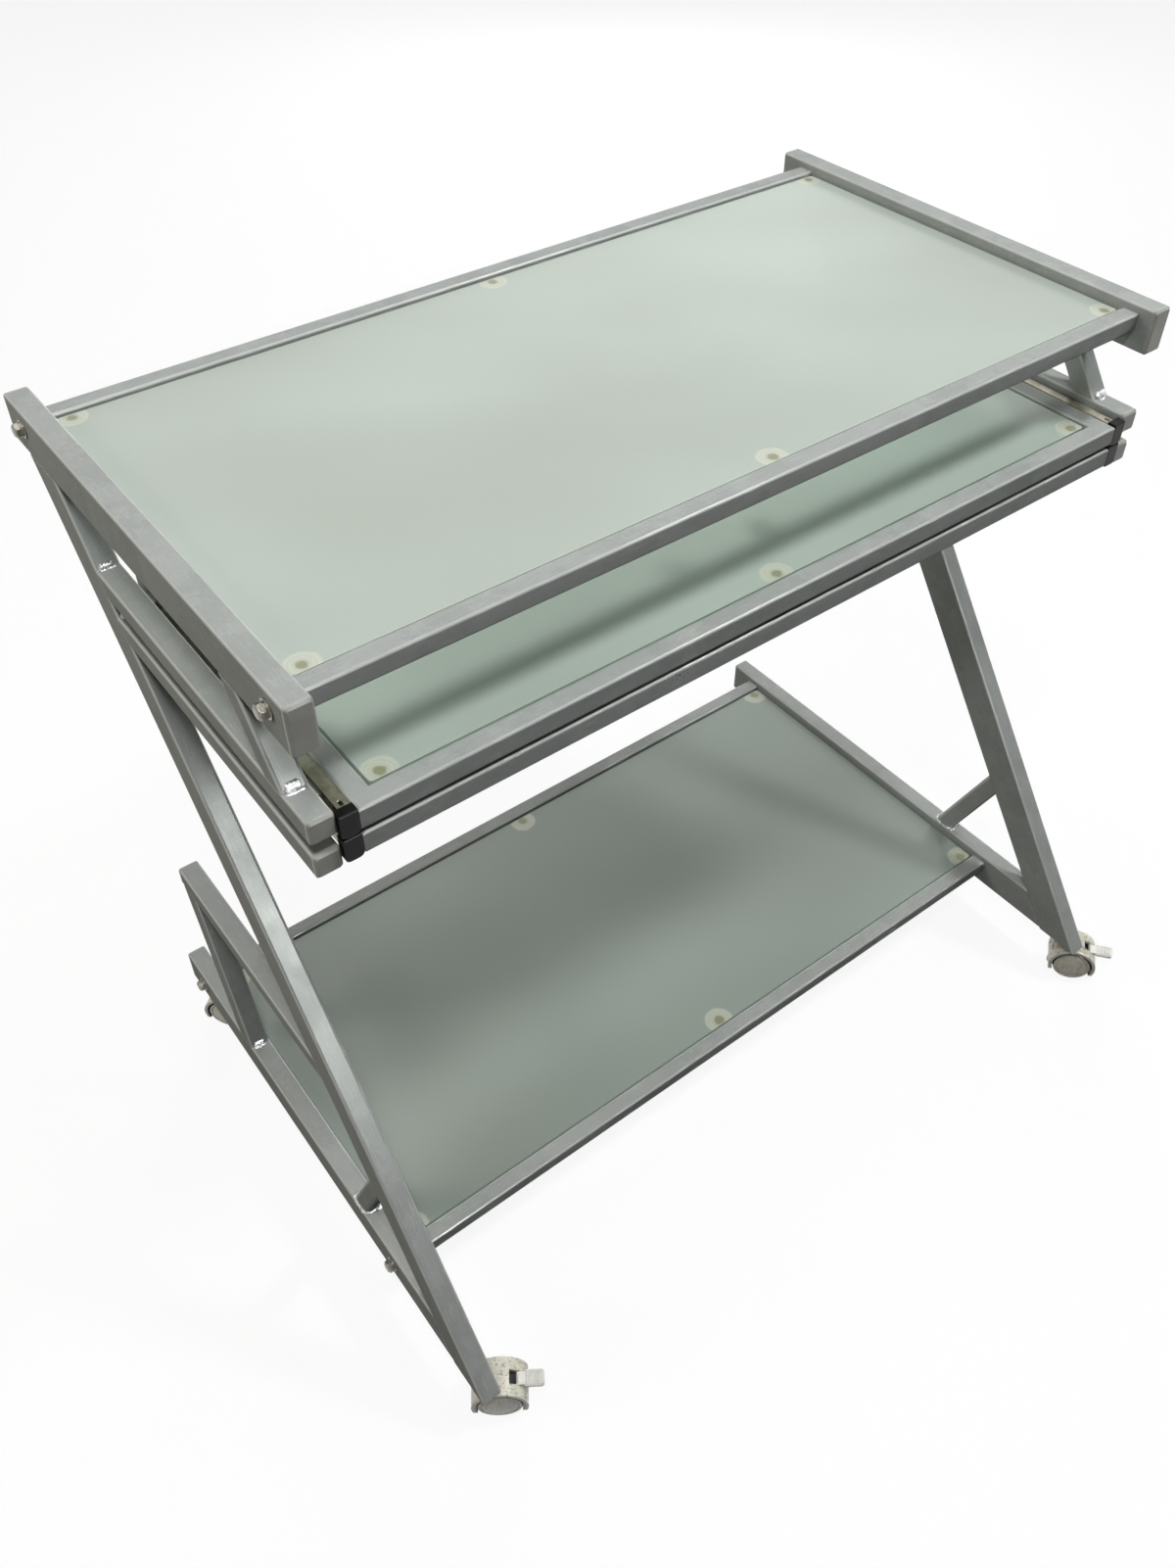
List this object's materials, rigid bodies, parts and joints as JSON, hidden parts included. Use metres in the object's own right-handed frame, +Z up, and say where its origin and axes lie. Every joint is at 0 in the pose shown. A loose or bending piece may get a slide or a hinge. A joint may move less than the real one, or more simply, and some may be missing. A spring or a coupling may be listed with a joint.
{
  "type": "computer desk",
  "caption": "Computer desk with raked tube side frames, frosted glass top and shelf, two pull-out glass trays and hooded castors.",
  "frame": {"origin": "on the floor, under the centre of the top rails", "axes": "+X along the desk's width towards its right side as a seated user sees it, +Y towards the back, +Z up"},
  "size_m": [0.8389, 0.5857, 0.75],
  "materials": {
    "frame_steel": "satin silver-grey paint",
    "zinc": "bright zinc plate",
    "slide_steel": "yellowed zinc plate",
    "cap_plastic": "grey-green moulded plastic",
    "black_plastic": "black moulded plastic",
    "frosted_glass": "frosted on the underside",
    "shelf_glass": "frosted on the underside",
    "clear_pad": "clear yellowed silicone",
    "castor_plastic": "beige moulded plastic"
  },
  "bodies": {
    "frame": {"left_top_rail": "frame_steel", "right_top_rail": "frame_steel", "left_leg": "frame_steel", "right_leg": "frame_steel", "left_upper_slide_rail": "frame_steel", "right_upper_slide_rail": "frame_steel", "left_lower_slide_rail": "frame_steel", "right_lower_slide_rail": "frame_steel", "left_front_strut": "frame_steel", "right_front_strut": "frame_steel", "left_bottom_rail": "frame_steel", "right_bottom_rail": "frame_steel", "left_foot_brace": "frame_steel", "right_foot_brace": "frame_steel", "left_side_bar": "frame_steel", "left_side_strut": "frame_steel", "top_rail_caps": "cap_plastic", "bottom_rail_caps": "cap_plastic", "square_tube_caps": "cap_plastic", "top_front_bar": "frame_steel", "top_rear_bar": "frame_steel", "shelf_front_bar": "frame_steel", "shelf_rear_bar": "frame_steel", "bar_inserts": "cap_plastic", "frame_bolts": "zinc", "bolt_washers": "zinc", "top_glass": "frosted_glass", "shelf_glass": "shelf_glass", "top_glass_pads": "clear_pad", "shelf_glass_pads": "clear_pad", "upper_slide_channels": "slide_steel", "lower_slide_channels": "slide_steel", "castor_stems": "zinc", "stem_sockets": "cap_plastic"},
    "upper_tray": {"upper_tray_front_tube": "frame_steel", "upper_tray_rear_tube": "frame_steel", "upper_tray_side_tubes": "frame_steel", "upper_tray_glass": "frosted_glass", "upper_tray_pads": "clear_pad", "upper_slide_runners": "zinc", "upper_slide_bumpers": "black_plastic"},
    "lower_tray": {"lower_tray_front_tube": "frame_steel", "lower_tray_rear_tube": "frame_steel", "lower_tray_side_tubes": "frame_steel", "lower_tray_glass": "frosted_glass", "lower_tray_pads": "clear_pad", "lower_slide_runners": "zinc", "lower_slide_bumpers": "black_plastic"},
    "upper_cages": {"upper_ball_cages": "zinc"},
    "lower_cages": {"lower_ball_cages": "zinc"},
    "front_left_castor": {"front_left_castor_hood": "castor_plastic"},
    "front_left_wheels": {"front_left_castor_wheels": "castor_plastic"},
    "left_lever": {"left_brake_lever": "castor_plastic"},
    "front_right_castor": {"front_right_castor_hood": "castor_plastic"},
    "front_right_wheels": {"front_right_castor_wheels": "castor_plastic"},
    "right_lever": {"right_brake_lever": "castor_plastic"},
    "rear_left_castor": {"rear_left_castor_hood": "castor_plastic"},
    "rear_left_wheels": {"rear_left_castor_wheels": "castor_plastic"},
    "rear_right_castor": {"rear_right_castor_hood": "castor_plastic"},
    "rear_right_wheels": {"rear_right_castor_wheels": "castor_plastic"}
  },
  "joints": [
    {"name": "upper_tray_slide", "type": "slide", "parent": "frame", "child": "upper_tray", "axis": [0, -1, 0], "range_m": [0, 0.22]},
    {"name": "upper_cage_slide", "type": "slide", "parent": "frame", "child": "upper_cages", "axis": [0, -1, 0], "range_m": [0, 0.11]},
    {"name": "lower_tray_slide", "type": "slide", "parent": "frame", "child": "lower_tray", "axis": [0, -1, 0], "range_m": [0, 0.22]},
    {"name": "lower_cage_slide", "type": "slide", "parent": "frame", "child": "lower_cages", "axis": [0, -1, 0], "range_m": [0, 0.11]},
    {"name": "front_left_swivel", "type": "hinge", "parent": "frame", "child": "front_left_castor", "pos_m": [-0.3905, -0.32033, 0.045], "axis": [0, 0, 1], "continuous": true},
    {"name": "front_left_roll", "type": "hinge", "parent": "front_left_castor", "child": "front_left_wheels", "pos_m": [-0.37558, -0.3304, 0.02], "axis": [0.5592, 0.829, 0], "continuous": true},
    {"name": "left_brake", "type": "hinge", "parent": "front_left_castor", "child": "left_lever", "pos_m": [-0.36111, -0.34016, 0.03544], "axis": [0.5592, 0.829, 0], "range_deg": [0, 20]},
    {"name": "front_right_swivel", "type": "hinge", "parent": "frame", "child": "front_right_castor", "pos_m": [0.3905, -0.32033, 0.045], "axis": [0, 0, 1], "continuous": true},
    {"name": "front_right_roll", "type": "hinge", "parent": "front_right_castor", "child": "front_right_wheels", "pos_m": [0.40158, -0.33452, 0.02], "axis": [0.788, 0.6157, 0], "continuous": true},
    {"name": "right_brake", "type": "hinge", "parent": "front_right_castor", "child": "right_lever", "pos_m": [0.41233, -0.34827, 0.03544], "axis": [0.788, 0.6157, 0], "range_deg": [0, 20]},
    {"name": "rear_left_swivel", "type": "hinge", "parent": "frame", "child": "rear_left_castor", "pos_m": [-0.3905, 0.193, 0.045], "axis": [0, 0, 1], "continuous": true},
    {"name": "rear_left_roll", "type": "hinge", "parent": "rear_left_castor", "child": "rear_left_wheels", "pos_m": [-0.37846, 0.17962, 0.02], "axis": [0.7431, 0.6691, 0], "continuous": true},
    {"name": "rear_right_swivel", "type": "hinge", "parent": "frame", "child": "rear_right_castor", "pos_m": [0.3905, 0.193, 0.045], "axis": [0, 0, 1], "continuous": true},
    {"name": "rear_right_roll", "type": "hinge", "parent": "rear_right_castor", "child": "rear_right_wheels", "pos_m": [0.40254, 0.17962, 0.02], "axis": [0.7431, 0.6691, 0], "continuous": true}
  ],
  "couplings": [
    {"joint": "upper_cage_slide", "follows": "upper_tray_slide", "ratio": 0.5},
    {"joint": "lower_cage_slide", "follows": "lower_tray_slide", "ratio": 0.5}
  ]
}
